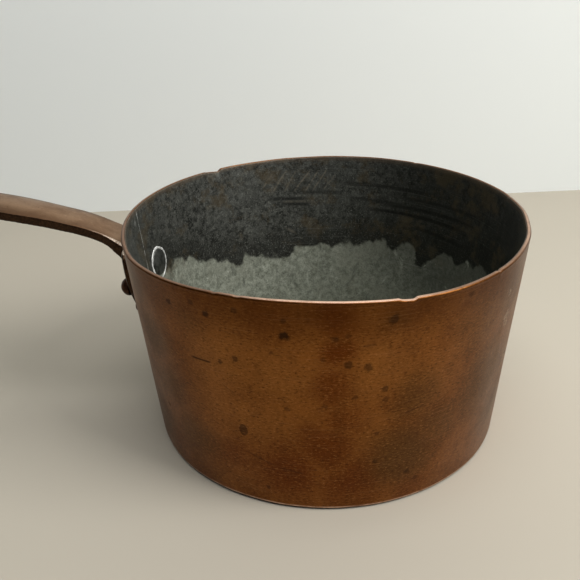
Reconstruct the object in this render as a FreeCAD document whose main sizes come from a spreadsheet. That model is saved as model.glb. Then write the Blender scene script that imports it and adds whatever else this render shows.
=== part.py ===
"""Copper saucepan, tinned inside, with a copper handle held by three rivets.

Millimetres. +Z is up and the origin is the centre of the underside, on the surface that the pan
stands on. The handle leaves along -X. The wall is a straight-sided cone that opens upwards.
"""
import FreeCAD, Part
import math
import os
import Sketcher

# alias, value, meaning
DRIVING_SIZES = [
    ("rim_radius", 110.0, "outside radius at the rim"),
    ("foot_radius", 99.6, "outside radius of the wall's line where it meets the floor"),
    ("pan_height", 122.0, "floor to rim"),
    ("sheet", 2.0, "thickness of the copper sheet"),
    ("foot_round", 2.6, "outside radius of the bend at the foot"),
    ("turn_in_radius", 94.0, "the foot is turned in to this radius"),
    ("seam_gap", 0.8, "width of the brazed seams"),
    ("tin", 0.3, "thickness of the tin lining"),
    ("plate_thickness", 5.6, "handle plate, square to the wall"),
    ("plate_top", 103.0, "height of the plate's shoulders"),
    ("plate_waist", 84.0, "height below which the plate narrows"),
    ("plate_tip", 49.0, "lowest point of the plate"),
    ("plate_half_top", 24.0, "half width at the shoulders"),
    ("plate_half_waist", 23.5, "half width at the waist"),
    ("plate_tip_round", 10.5, "radius of the plate's lower end"),
    ("plate_bow", 70.5, "radius of the plate's bowed edges"),
    ("plate_sweep", 36.0, "angle of the sector that the plate is cut from, degrees"),
    ("strap_half", 13.8, "half width of the handle's strap where it is widest"),
    ("waist_half", 11.0, "half width of the strap near the plate"),
    ("waist_reach", 122.0, "distance from the axis to that narrow place"),
    ("flare_reach", 115.0, "distance from the axis to where the strap flares into the plate"),
    ("wide_reach", 185.0, "distance from the axis to where the strap reaches its full width"),
    ("strap_edge", 4.5, "thickness of the strap at its edges"),
    ("strap_crown", 2.2, "rise of the strap's rounded top above its edges"),
    ("root_reach", 104.0, "distance from the axis where the strap's line starts"),
    ("root_rise", 92.1, "height of the strap's underside there"),
    ("root_slope", 38.0, "slope of the strap there, degrees"),
    ("middle_slope", 12.0, "slope after the first bend, degrees"),
    ("end_slope", 8.0, "slope of the straight end, degrees"),
    ("root_bend", 103.0, "radius of the first bend"),
    ("long_bend", 726.0, "radius of the long bend"),
    ("straight_run", 132.0, "length of the straight end"),
    ("root_hollow", 12.0, "radius of the curve from the strap's underside into the plate"),
    ("eye_outside", 16.5, "outside radius of the hanging eye"),
    ("eye_inside", 7.0, "radius of the hole in the hanging eye"),
    ("eye_thickness", 6.0, "thickness of the hanging eye"),
    ("rivet_shank", 3.2, "radius of a rivet's shank"),
    ("outer_head", 5.2, "radius of a rivet's domed outer head"),
    ("outer_dome", 4.7, "height of the outer head"),
    ("inner_head", 8.4, "radius of a rivet's flat inner head"),
    ("inner_edge", 0.9, "height of the inner head at its edge"),
    ("inner_dome", 1.7, "height of the inner head at its middle"),
    ("seat", 0.2, "depth that a head beds into what it clamps"),
    ("upper_rivet_rise", 81.4, "height of the two upper rivets"),
    ("upper_rivet_turn", 8.8, "angle from the handle's line to an upper rivet, degrees"),
    ("lower_rivet_rise", 60.5, "height of the lower rivet"),
    ("tin_ring", 10.2, "outside radius of the tin round an inner head"),
    ("tin_ring_rise", 1.1, "height of that tin against the head"),
    ("overrun", 1.0, "how far an outline that cuts goes past what it cuts"),
]

doc = FreeCAD.newDocument("Saucepan")
sheet = doc.addObject("Spreadsheet::Sheet", "Sizes")
for row, (alias, value, meaning) in enumerate(DRIVING_SIZES, start=1):
    sheet.set(f"A{row}", meaning)
    sheet.set(f"B{row}", str(value))
    sheet.setAlias(f"B{row}", alias)
doc.recompute()

# Expressions that several pieces share, written in terms of the sheet's cells.
DRAFT = "atan((Sizes.rim_radius - Sizes.foot_radius) / Sizes.pan_height)"
SLANT_SHEET = f"(Sizes.sheet / cos({DRAFT}))"
SLANT_TIN = f"((Sizes.sheet + Sizes.tin) / cos({DRAFT}))"
SLANT_PLATE = f"(Sizes.plate_thickness / cos({DRAFT}))"


def wall_radius(height):
    """Expression for the outside radius of the wall at a height that is an expression too."""
    return f"(Sizes.foot_radius + ({height}) * tan({DRAFT}))"


def value_of(expression):
    """The present value of an expression, as a float."""
    return float(sheet.evalExpression(expression))


def origin_plane(body, role):
    """The body's own origin plane with this role."""
    return next(o for o in body.Origin.OriginFeatures if o.Role == role)


def place_point(sketch, tag, geometry, end, across, up):
    """Tie one end of a line or arc to the two expressions across and up."""
    for kind, way, expression in (("DistanceX", "across", across), ("DistanceY", "up", up)):
        datum = value_of(expression)
        index = sketch.addConstraint(Sketcher.Constraint(kind, -1, 1, geometry, end, datum))
        sketch.renameConstraint(index, f"{way}_{tag}")
        sketch.setExpression(f"Constraints.{way}_{tag}", expression)


def arc_between(start, finish, radius, turn):
    """The shorter arc from start to finish; turn is 1 for anticlockwise and -1 for clockwise."""
    chord = finish - start
    reach = math.sqrt(max(radius ** 2 - (chord.Length / 2) ** 2, 0.0))
    side = FreeCAD.Vector(-chord.y, chord.x, 0).normalize() * turn
    centre = (start + finish) * 0.5 + side * reach
    middle = centre - side * radius
    return Part.Arc(start, middle, finish)


def outline(sketch, corners, closed=True):
    """Lines and arcs through corners, each (tag, across, up) or (tag, across, up, radius, turn).

    A corner with a radius starts an arc to the next corner. Every size is an expression.
    """
    points = [FreeCAD.Vector(value_of(c[1]), value_of(c[2]), 0) for c in corners]
    spans = len(corners) if closed else len(corners) - 1
    ends = []
    for number in range(spans):
        corner = corners[number]
        start, finish = points[number], points[(number + 1) % len(points)]
        if len(corner) > 3:
            curve = arc_between(start, finish, value_of(corner[3]), corner[4])
        else:
            curve = Part.LineSegment(start, finish)
        geometry = sketch.addGeometry(curve, False)
        forward = (sketch.getPoint(geometry, 1) - start).Length < 1e-6
        ends.append((geometry, 1, 2) if forward else (geometry, 2, 1))
    for number, (geometry, first, last) in enumerate(ends):
        corner = corners[number]
        place_point(sketch, corner[0], geometry, first, corner[1], corner[2])
        if len(corner) > 3:
            radius = value_of(corner[3])
            index = sketch.addConstraint(Sketcher.Constraint("Radius", geometry, radius))
            sketch.renameConstraint(index, f"radius_{corner[0]}")
            sketch.setExpression(f"Constraints.radius_{corner[0]}", corner[3])
        if number + 1 < len(ends) or closed:
            after, next_first, next_last = ends[(number + 1) % len(ends)]
            sketch.addConstraint(Sketcher.Constraint("Coincident", geometry, last, after, next_first))
    if not closed:
        tag, across, up = corners[-1][:3]
        place_point(sketch, tag, ends[-1][0], ends[-1][2], across, up)


def circle(sketch, tag, across, up, radius):
    """A circle about the point (across, up); every size is an expression."""
    centre = FreeCAD.Vector(value_of(across), value_of(up), 0)
    shape = Part.Circle(centre, FreeCAD.Vector(0, 0, 1), value_of(radius))
    geometry = sketch.addGeometry(shape, False)
    place_point(sketch, tag, geometry, 3, across, up)
    index = sketch.addConstraint(Sketcher.Constraint("Radius", geometry, value_of(radius)))
    sketch.renameConstraint(index, f"radius_{tag}")
    sketch.setExpression(f"Constraints.radius_{tag}", radius)


def new_body(name):
    """An empty body with its label."""
    body = doc.addObject("PartDesign::Body", name)
    body.Label = name
    return body


def new_sketch(body, name, role):
    """An empty sketch on one of the body's origin planes."""
    sketch = body.newObject("Sketcher::SketchObject", name)
    sketch.AttachmentSupport = [(origin_plane(body, role), "")]
    sketch.MapMode = "FlatFace"
    return sketch


def turn_about_z(body, name, sketch, angle, kind="PartDesign::Revolution"):
    """Revolve an upright sketch about Z, as much to one side of its plane as to the other."""
    feature = body.newObject(kind, name)
    feature.Profile = sketch
    feature.ReferenceAxis = (sketch, ["V_Axis"])
    feature.Midplane = True
    feature.setExpression("Angle", angle)
    sketch.Visibility = False
    return feature


def round_bends(body, name, sizes):
    """Fillet the circular edges at the foot. sizes holds (edge radius, edge height, fillet radius)."""
    doc.recompute()
    for number, (radius, height, bend) in enumerate(sizes):
        base = body.Tip
        names = []
        for index, edge in enumerate(base.Shape.Edges, start=1):
            if not isinstance(edge.Curve, Part.Circle):
                continue
            level = abs(edge.Curve.Center.z - value_of(height)) < 0.01
            if level and abs(edge.Curve.Radius - value_of(radius)) < 0.01:
                names.append(f"Edge{index}")
        fillet = body.newObject("PartDesign::Fillet", f"{name}_{number}")
        fillet.Base = (base, names)
        fillet.setExpression("Radius", bend)
        doc.recompute()


def edges_between(shape, low, high):
    """Names of the edges whose ends and middle all lie in the box from low to high."""
    names = []
    for index, edge in enumerate(shape.Edges, start=1):
        middle = edge.valueAt((edge.FirstParameter + edge.LastParameter) / 2)
        marks = [middle] + [v.Point for v in edge.Vertexes]
        if all(low[i] <= mark[i] <= high[i] for mark in marks for i in range(3)):
            names.append(f"Edge{index}")
    return names


def make_wall_sector(name, angle, toward):
    """Part of the wall: straight side, bend at the foot and turned-in foot.

    toward is 1 for a sector centred on +X and -1 for one centred on -X.
    """
    body = new_body(name)
    sketch = new_sketch(body, f"{name}_section", "XZ_Plane")
    outside_top = wall_radius("Sizes.pan_height")
    inside_low = f"({wall_radius('Sizes.sheet')} - {SLANT_SHEET})"
    corners = [
        ("a", "Sizes.turn_in_radius", "0"),
        ("b", "Sizes.foot_radius", "0"),
        ("c", outside_top, "Sizes.pan_height"),
        ("d", f"{outside_top} - {SLANT_SHEET}", "Sizes.pan_height"),
        ("e", inside_low, "Sizes.sheet"),
        ("f", "Sizes.turn_in_radius", "Sizes.sheet"),
    ]
    outline(sketch, [(tag, f"{toward} * ({across})", up) for tag, across, up in corners])
    turn_about_z(body, f"{name}_turned", sketch, angle)
    bends = [
        ("Sizes.foot_radius", "0", "Sizes.foot_round"),
        (inside_low, "Sizes.sheet", "Sizes.foot_round - Sizes.sheet"),
    ]
    round_bends(body, f"{name}_bend", bends)
    return body


def make_disc(name, outside, thickness, inside=None):
    """A flat disc on the floor, or a ring where inside is given."""
    body = new_body(name)
    sketch = new_sketch(body, f"{name}_outline", "XY_Plane")
    circle(sketch, "outer", "0", "0", outside)
    if inside:
        circle(sketch, "inner", "0", "0", inside)
    pad = body.newObject("PartDesign::Pad", f"{name}_pad")
    pad.Profile = sketch
    pad.setExpression("Length", thickness)
    sketch.Visibility = False
    return body


def make_lining_shell():
    """The skin of tin over the wall and the base."""
    body = new_body("lining_shell")
    sketch = new_sketch(body, "lining_section", "XZ_Plane")
    top = wall_radius("Sizes.pan_height")
    tin_level = "(Sizes.sheet + Sizes.tin)"
    outside_low = f"({wall_radius('Sizes.sheet')} - {SLANT_SHEET})"
    inside_low = f"({wall_radius(tin_level)} - {SLANT_TIN})"
    corners = [
        ("a", "0", "Sizes.sheet"),
        ("b", outside_low, "Sizes.sheet"),
        ("c", f"{top} - {SLANT_SHEET}", "Sizes.pan_height"),
        ("d", f"{top} - {SLANT_TIN}", "Sizes.pan_height"),
        ("e", inside_low, tin_level),
        ("f", "0", tin_level),
    ]
    outline(sketch, corners)
    turn_about_z(body, "lining_turned", sketch, "360")
    bends = [
        (outside_low, "Sizes.sheet", "Sizes.foot_round - Sizes.sheet"),
        (inside_low, tin_level, "Sizes.foot_round - Sizes.sheet - Sizes.tin"),
    ]
    round_bends(body, "lining_bend", bends)
    return body


def make_cavity():
    """The space inside the copper, which trims the rings of tin."""
    body = new_body("cavity")
    sketch = new_sketch(body, "cavity_section", "XZ_Plane")
    top = wall_radius("Sizes.pan_height")
    corners = [
        ("a", "0", "Sizes.sheet"),
        ("b", f"{wall_radius('Sizes.sheet')} - {SLANT_SHEET}", "Sizes.sheet"),
        ("c", f"{top} - {SLANT_SHEET}", "Sizes.pan_height"),
        ("d", "0", "Sizes.pan_height"),
    ]
    outline(sketch, corners)
    turn_about_z(body, "cavity_turned", sketch, "360")
    return body


def stand_on_wall(thing, rise, turn):
    """Put a piece's origin on the wall's outer face, with its own +Z square to the wall.

    turn is the angle in degrees from the handle's line, -X, about Z.
    """
    draft = value_of(DRAFT)
    bearing = math.radians(180.0 + turn)
    radius = value_of(wall_radius(rise))
    place = FreeCAD.Vector(radius * math.cos(bearing), radius * math.sin(bearing), value_of(rise))
    level = FreeCAD.Rotation(FreeCAD.Vector(0, 1, 0), 90.0 + draft)
    heading = FreeCAD.Rotation(FreeCAD.Vector(0, 0, 1), 180.0 + turn)
    thing.Placement = FreeCAD.Placement(place, heading.multiply(level))


def make_rivet(name, rise, turn):
    """A rivet: domed head outside, shank through plate and wall, flat head inside."""
    body = new_body(name)
    sketch = new_sketch(body, f"{name}_section", "XZ_Plane")
    crown = "Sizes.plate_thickness - Sizes.seat + Sizes.outer_dome"
    dome_radius = "(Sizes.outer_head ^ 2 + Sizes.outer_dome ^ 2) / (2 * Sizes.outer_dome)"
    bulge = "(Sizes.inner_dome - Sizes.inner_edge)"
    button_radius = f"(Sizes.inner_head ^ 2 + {bulge} ^ 2) / (2 * {bulge})"
    under = "(-Sizes.sheet + Sizes.seat / 2)"
    corners = [
        ("a", "0", "-Sizes.sheet - Sizes.inner_dome", button_radius, 1),
        ("b", "Sizes.inner_head", "-Sizes.sheet - Sizes.inner_edge"),
        ("c", "Sizes.inner_head", under),
        ("d", "Sizes.rivet_shank", under),
        ("e", "Sizes.rivet_shank", "Sizes.plate_thickness - Sizes.seat"),
        ("f", "Sizes.outer_head", "Sizes.plate_thickness - Sizes.seat", dome_radius, 1),
        ("g", "0", crown),
    ]
    outline(sketch, corners)
    turn_about_z(body, f"{name}_turned", sketch, "360")
    stand_on_wall(body, rise, turn)
    return body


def make_tin_ring(name, rise, turn):
    """A low cone of tin round a rivet's inner head, starting inside the wall."""
    ring = doc.addObject("Part::Cone", name)
    ring.setExpression("Radius1", "Sizes.tin_ring")
    ring.setExpression("Radius2", "Sizes.inner_head")
    ring.setExpression("Height", "Sizes.tin_ring_rise + Sizes.sheet / 2")
    stand_on_wall(ring, rise, turn)
    inward = FreeCAD.Placement(
        FreeCAD.Vector(0, 0, -value_of("Sizes.sheet / 2")),
        FreeCAD.Rotation(FreeCAD.Vector(1, 0, 0), 180.0),
    )
    ring.Placement = ring.Placement.multiply(inward)
    return ring


def make_handle_blank():
    """The handle before its rivet holes: plate, strap and hanging eye in one piece."""
    body = new_body("handle_blank")

    # The plate is a sector of a cone as thick as the plate, cut to a shield outline.
    section = new_sketch(body, "plate_section", "XZ_Plane")
    low, high = "Sizes.plate_tip", "Sizes.plate_top"
    corners = [
        ("a", f"-{wall_radius(low)}", low),
        ("b", f"-({wall_radius(low)} + {SLANT_PLATE})", low),
        ("c", f"-({wall_radius(high)} + {SLANT_PLATE})", high),
        ("d", f"-{wall_radius(high)}", high),
    ]
    outline(section, corners)
    turn_about_z(body, "plate_sector", section, "Sizes.plate_sweep")

    shield = new_sketch(body, "plate_shield", "YZ_Plane")
    beyond = "(2 * Sizes.plate_half_top)"
    border = [
        ("p", f"-{beyond}", "Sizes.plate_tip - Sizes.plate_tip_round"),
        ("q", beyond, "Sizes.plate_tip - Sizes.plate_tip_round"),
        ("r", beyond, "Sizes.pan_height"),
        ("s", f"-{beyond}", "Sizes.pan_height"),
    ]
    outline(shield, border)
    tip_side = "Sizes.plate_tip + Sizes.plate_tip_round"
    shoulder = "Sizes.plate_half_top"
    corners = [
        ("a", "Sizes.plate_tip_round", tip_side, "Sizes.plate_bow", -1),
        ("b", "Sizes.plate_half_waist", "Sizes.plate_waist", "Sizes.plate_bow", 1),
        ("c", shoulder, "Sizes.plate_top + Sizes.overrun"),
        ("d", f"-{shoulder}", "Sizes.plate_top + Sizes.overrun", "Sizes.plate_bow", 1),
        ("e", "-Sizes.plate_half_waist", "Sizes.plate_waist", "Sizes.plate_bow", -1),
        ("f", "-Sizes.plate_tip_round", tip_side, "Sizes.plate_tip_round", 1),
        ("g", "0", "Sizes.plate_tip", "Sizes.plate_tip_round", 1),
    ]
    outline(shield, corners)
    trim = body.newObject("PartDesign::Pocket", "plate_trim")
    trim.Profile = shield
    trim.Type = "ThroughAll"
    trim.Midplane = True
    shield.Visibility = False
    doc.recompute()

    # The strap follows a bend, a long gentle bend and a straight run.
    path = new_sketch(body, "strap_path", "XZ_Plane")
    across_first = "Sizes.root_bend * (sin(Sizes.root_slope) - sin(Sizes.middle_slope))"
    up_first = "Sizes.root_bend * (cos(Sizes.middle_slope) - cos(Sizes.root_slope))"
    across_long = "Sizes.long_bend * (sin(Sizes.middle_slope) - sin(Sizes.end_slope))"
    up_long = "Sizes.long_bend * (cos(Sizes.end_slope) - cos(Sizes.middle_slope))"
    reach_one = f"(Sizes.root_reach + {across_first})"
    reach_two = f"({reach_one} + {across_long})"
    reach_end = f"({reach_two} + Sizes.straight_run * cos(Sizes.end_slope))"
    rise_one = f"(Sizes.root_rise + {up_first})"
    rise_two = f"({rise_one} + {up_long})"
    rise_end = f"({rise_two} + Sizes.straight_run * sin(Sizes.end_slope))"
    corners = [
        ("a", "-Sizes.root_reach", "Sizes.root_rise", "Sizes.root_bend", 1),
        ("b", f"-{reach_one}", rise_one, "Sizes.long_bend", 1),
        ("c", f"-{reach_two}", rise_two),
        ("d", f"-{reach_end}", rise_end),
    ]
    outline(path, corners, closed=False)

    # Its section stands upright at the far end, with the path along the middle of its underside.
    section = new_sketch(body, "strap_section", "YZ_Plane")
    section.setExpression("AttachmentOffset.Base.z", f"-{reach_end}")
    crown_bow = "(Sizes.strap_half ^ 2 + Sizes.strap_crown ^ 2) / (2 * Sizes.strap_crown)"
    corners = [
        ("a", "-Sizes.strap_half", rise_end),
        ("b", "Sizes.strap_half", rise_end),
        ("c", "Sizes.strap_half", f"{rise_end} + Sizes.strap_edge", crown_bow, 1),
        ("d", "-Sizes.strap_half", f"{rise_end} + Sizes.strap_edge"),
    ]
    outline(section, corners)
    strap = body.newObject("PartDesign::AdditivePipe", "strap")
    strap.Profile = section
    strap.Spine = path
    section.Visibility = False
    path.Visibility = False

    # What would reach through the wall is turned away, so that the handle bears on it.
    bore = new_sketch(body, "wall_space", "XZ_Plane")
    above = "2 * Sizes.pan_height"
    corners = [
        ("a", "0", "0"),
        ("b", wall_radius("0"), "0"),
        ("c", wall_radius(above), above),
        ("d", "0", above),
    ]
    outline(bore, corners)
    groove = turn_about_z(body, "wall_clearance", bore, "360", "PartDesign::Groove")
    doc.recompute()

    # The strap's underside runs into the plate in a hollow curve.
    plate_face = value_of(f"{wall_radius('Sizes.root_rise')} + {SLANT_PLATE}")
    near = value_of("Sizes.overrun")
    half = value_of("Sizes.strap_half") + near
    low = (-plate_face - 2 * near, -half, value_of("Sizes.root_rise"))
    high = (-plate_face + near, half, value_of("Sizes.plate_top") - near)
    hollow = body.newObject("PartDesign::Fillet", "root_hollow")
    hollow.Base = (groove, edges_between(groove.Shape, low, high))
    hollow.setExpression("Radius", "Sizes.root_hollow")
    doc.recompute()

    # Seen from above the strap flares into the plate, is narrowest beside it and widens outwards.
    waist = new_sketch(body, "strap_waist", "XY_Plane")
    beyond_strap = "(Sizes.strap_half + Sizes.overrun)"
    for letter, side in (("left", -1), ("right", 1)):
        corners = [
            (f"{letter}_a", "-Sizes.flare_reach", f"{side} * {beyond_strap}"),
            (f"{letter}_b", "-Sizes.flare_reach", f"{side} * Sizes.strap_half"),
            (f"{letter}_c", "-Sizes.waist_reach", f"{side} * Sizes.waist_half"),
            (f"{letter}_d", "-Sizes.wide_reach", f"{side} * Sizes.strap_half"),
            (f"{letter}_e", "-Sizes.wide_reach", f"{side} * {beyond_strap}"),
        ]
        outline(waist, corners)
    taper = body.newObject("PartDesign::Pocket", "strap_taper")
    taper.Profile = waist
    taper.Type = "ThroughAll"
    taper.Midplane = True
    waist.Visibility = False

    # The hanging eye lies in line with the straight run.
    reach_eye = f"({reach_end} + Sizes.eye_inside * cos(Sizes.end_slope))"
    rise_eye = f"({rise_end} + Sizes.eye_inside * sin(Sizes.end_slope))"
    for name, radius in (("eye_rim", "Sizes.eye_outside"), ("eye_hole", "Sizes.eye_inside")):
        sketch = new_sketch(body, f"{name}_outline", "XY_Plane")
        tilt = FreeCAD.Rotation(FreeCAD.Vector(0, 1, 0), value_of("Sizes.end_slope"))
        sketch.AttachmentOffset = FreeCAD.Placement(FreeCAD.Vector(0, 0, 0), tilt)
        sketch.setExpression("AttachmentOffset.Base.x", f"-{reach_eye}")
        sketch.setExpression("AttachmentOffset.Base.z", rise_eye)
        sketch.setExpression("AttachmentOffset.Rotation.Angle", "Sizes.end_slope")
        circle(sketch, "ring", "0", "0", radius)
        kind = "PartDesign::Pad" if name == "eye_rim" else "PartDesign::Pocket"
        feature = body.newObject(kind, name)
        feature.Profile = sketch
        if name == "eye_rim":
            feature.setExpression("Length", "Sizes.eye_thickness")
        else:
            feature.Type = "ThroughAll"
            feature.Midplane = True
        sketch.Visibility = False

    doc.recompute()
    return body


def drilled(name, whole, tools):
    """A piece with the room that other pieces take cut out of it."""
    cut = doc.addObject("Part::Cut", name)
    cut.Label = name
    cut.Base = whole
    cut.Tool = tools
    return cut


def joined(name, pieces):
    """Several pieces fused into one shape."""
    fuse = doc.addObject("Part::MultiFuse", name)
    fuse.Shapes = pieces
    return fuse


def check_document(nodes):
    """Stop if any object failed, or if a node holds no valid solid."""
    for item in doc.Objects:
        if "Invalid" in item.State or "Error" in item.State:
            raise RuntimeError(f"{item.Name} failed: {item.State}")
    for node in nodes:
        shape = node.Shape
        if shape.isNull() or not shape.isValid() or not shape.Solids:
            raise RuntimeError(f"{node.Label} is not a valid solid")


RIVET_PLACES = {
    "rivet_upper_left": ("Sizes.upper_rivet_rise", "Sizes.upper_rivet_turn"),
    "rivet_upper_right": ("Sizes.upper_rivet_rise", "-Sizes.upper_rivet_turn"),
    "rivet_lower": ("Sizes.lower_rivet_rise", "0"),
}
SEAM_ANGLE = "(360 * Sizes.seam_gap / (2 * pi * Sizes.rim_radius))"

rivets = []
tin_rings = []
for rivet_name, (rise, turn) in RIVET_PLACES.items():
    rivets.append(make_rivet(rivet_name, rise, value_of(turn)))
    tin_rings.append(make_tin_ring(f"{rivet_name}_tin", rise, value_of(turn)))
rivet_set = joined("rivet_set", rivets)

wall_blank = make_wall_sector("wall_blank", f"360 - {SEAM_ANGLE}", 1)
side_seam_blank = make_wall_sector("side_seam_blank", SEAM_ANGLE, -1)
seam_inside = "Sizes.turn_in_radius - Sizes.seam_gap"
base = make_disc("pan_base", seam_inside, "Sizes.sheet")
base_seam = make_disc("base_seam_braze", "Sizes.turn_in_radius", "Sizes.sheet", seam_inside)

ring_stock = joined("ring_stock", tin_rings)
ring_fillets = doc.addObject("Part::Common", "ring_fillets")
ring_fillets.Base = ring_stock
ring_fillets.Tool = make_cavity()
lining_blank = joined("lining_blank", [make_lining_shell(), ring_fillets])

nodes = rivets + [
    drilled("pan_wall", wall_blank, rivet_set),
    drilled("side_seam_braze", side_seam_blank, rivet_set),
    drilled("tin_lining", lining_blank, rivet_set),
    drilled("handle", make_handle_blank(), rivet_set),
    base,
    base_seam,
]
doc.recompute()
check_document(nodes)

os.makedirs("parts", exist_ok=True)
for node in nodes:
    node.Shape.exportStep(f"parts/{node.Label}.step")
    print(node.Label, round(node.Shape.Volume, 1), len(node.Shape.Faces), len(node.Shape.Solids))
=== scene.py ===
"""Looks of the copper saucepan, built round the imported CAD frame. Metres, handle along -X."""

import math

import bmesh
import bpy
import numpy as np
from mathutils import Matrix, Vector


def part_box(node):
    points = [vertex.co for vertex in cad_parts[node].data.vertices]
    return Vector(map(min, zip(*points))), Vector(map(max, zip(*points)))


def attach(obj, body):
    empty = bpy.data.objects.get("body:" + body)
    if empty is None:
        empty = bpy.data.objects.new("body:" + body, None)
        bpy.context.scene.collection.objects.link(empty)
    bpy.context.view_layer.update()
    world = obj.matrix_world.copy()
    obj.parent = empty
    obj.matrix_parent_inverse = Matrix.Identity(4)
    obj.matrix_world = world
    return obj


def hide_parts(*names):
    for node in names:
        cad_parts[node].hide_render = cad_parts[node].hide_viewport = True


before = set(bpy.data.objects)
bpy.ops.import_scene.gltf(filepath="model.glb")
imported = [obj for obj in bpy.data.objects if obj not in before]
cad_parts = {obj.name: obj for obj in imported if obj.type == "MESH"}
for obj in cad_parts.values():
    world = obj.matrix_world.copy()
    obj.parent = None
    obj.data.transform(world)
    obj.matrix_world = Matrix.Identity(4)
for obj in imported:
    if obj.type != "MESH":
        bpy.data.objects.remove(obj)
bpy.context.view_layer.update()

# ---------- sizes, worked out from the frame

MM = 0.001
WALL_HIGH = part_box("pan_wall")[1]
RIM = WALL_HIGH.x
HEIGHT = WALL_HIGH.z
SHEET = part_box("pan_base")[1].z
FOOT = 99.6 * MM
FOOT_ROUND = 2.6 * MM
TURN_IN = 94.0 * MM
TIN = 0.3 * MM
DRAFT = math.atan((RIM - FOOT) / HEIGHT)
SLANT_SHEET = SHEET / math.cos(DRAFT)
SLANT_TIN = (SHEET + TIN) / math.cos(DRAFT)
HANDLE_BEARING = 180.0
SEAM_HALF = math.degrees(0.4 * MM / RIM)

PLATE = 5.6 * MM
PLATE_TOP = 103.0 * MM
PLATE_TIP = 49.0 * MM
RIVET_TURN = 8.8
RIVETS = {
    "rivet_upper_left": (HANDLE_BEARING + RIVET_TURN, 81.4 * MM),
    "rivet_upper_right": (HANDLE_BEARING - RIVET_TURN, 81.4 * MM),
    "rivet_lower": (HANDLE_BEARING, 60.5 * MM),
}

# Dents in the rim: bearing in degrees, half width in degrees, depth, how one-sided (-1 to 1).
RIM_DENTS = [
    (294.8, 2.4, 1.0 * MM, 0.35),
    (137.4, 3.5, 2.2 * MM, -0.9),
    (248.8, 0.8, 0.35 * MM, 0.0),
    (254.9, 0.9, 0.35 * MM, 0.3),
    (322.4, 0.7, 0.5 * MM, 0.0),
    (62.0, 1.0, 0.35 * MM, 0.2),
    (18.0, 0.8, 0.3 * MM, -0.3),
]
DENT_REACH = 7.0 * MM
# Slow waves of the rim: how many go round the pan, the bearing of a crest, their size.
RIM_LOBES = [(3, 215.5, 0.6 * MM), (4, 308.5, 0.9 * MM)]
# The handle keeps the wall true: bearings away from it where waves begin and are in full.
WAVES_FROM, WAVES_FULL = 14.0, 32.0


def smooth_step(value, low, high):
    """0 below low, 1 above high and an S-curve between; low may be the larger."""
    share = np.clip((np.asarray(value, float) - low) / (high - low), 0.0, 1.0)
    return share * share * (3.0 - 2.0 * share)


def bearing_gap(bearing, middle):
    """Signed difference of two bearings, between -180 and 180 degrees."""
    return (np.asarray(bearing, float) - middle + 180.0) % 360.0 - 180.0


def wall_radius(height):
    """Outside radius of the wall at a height, before any wear."""
    return FOOT + (RIM - FOOT) * height / HEIGHT


def waves(bearing, height, seed, count, longest, size):
    """Smooth noise over the wall that closes on itself round the pan."""
    draw = np.random.default_rng(seed)
    total = np.zeros(np.broadcast(bearing, height).shape)
    turn = np.radians(bearing)
    for _ in range(count):
        lobes = int(draw.integers(2, max(3, int(2 * math.pi * RIM / longest * 2))))
        up = draw.uniform(-1.0, 1.0) * 2 * math.pi / longest
        phase = draw.uniform(0, 2 * math.pi)
        total = total + np.sin(lobes * turn + up * height + phase)
    return size * total / math.sqrt(count)


def worn(bearing, radius, height):
    """Where a point of the true cone lies on the used pan: x, y, z."""
    bearing, radius, height = np.broadcast_arrays(bearing, radius, height)
    lift = np.clip(height / HEIGHT, 0.0, 1.1)
    free = smooth_step(np.abs(bearing_gap(bearing, HANDLE_BEARING)), WAVES_FROM, WAVES_FULL)
    turn = np.radians(bearing)
    lobes = sum(size * np.cos(count * (turn - math.radians(crest))) for count, crest, size in RIM_LOBES)
    lobes = lobes * free * lift ** 2
    ripples = waves(bearing, height, seed=5, count=9, longest=55 * MM, size=0.10 * MM)
    radius = radius + 0.9 * lobes + ripples * free
    height = height - 0.55 * lobes
    near_rim = smooth_step(height, HEIGHT - DENT_REACH, HEIGHT)
    for middle, half, depth, lean in RIM_DENTS:
        offset = bearing_gap(bearing, middle) / half
        inside = smooth_step(1.0 - np.abs(offset), 0.0, 0.22 + 0.4 * (1 - abs(lean)))
        slope = np.clip(1.0 + lean * offset, 0.0, 2.0) / (1.0 + abs(lean))
        height = height - depth * near_rim * inside * slope
        radius = radius + 0.35 * depth * near_rim * inside * slope
    return np.stack([radius * np.cos(turn), radius * np.sin(turn), height], axis=-1)


# ---------- mesh helpers


def placed(name, data):
    """A new object in the scene."""
    piece = bpy.data.objects.new(name, data)
    bpy.context.scene.collection.objects.link(piece)
    return piece


def mesh_object(name, points, faces):
    """A smooth-shaded mesh object with its normals facing outwards."""
    mesh = bpy.data.meshes.new(name)
    mesh.from_pydata([tuple(p) for p in points], [], [tuple(f) for f in faces])
    form = bmesh.new()
    form.from_mesh(mesh)
    bmesh.ops.remove_doubles(form, verts=form.verts, dist=1e-7)
    bmesh.ops.recalc_face_normals(form, faces=form.faces)
    for face in form.faces:
        face.smooth = True
    form.to_mesh(mesh)
    form.free()
    return placed(name, mesh)


def grid_faces(rows, columns, wrap_rows, wrap_columns):
    """Quads over a grid of points stored row by row."""
    faces = []
    for row in range(rows if wrap_rows else rows - 1):
        after = (row + 1) % rows
        for column in range(columns if wrap_columns else columns - 1):
            beside = (column + 1) % columns
            corners = (row, column), (row, beside), (after, beside), (after, column)
            faces.append([down * columns + across for down, across in corners])
    return faces


def end_caps(rows, columns):
    """The faces that close both ends of a tube made by grid_faces."""
    last = (rows - 1) * columns
    return [tuple(range(columns)), tuple(last + i for i in reversed(range(columns)))]


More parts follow.
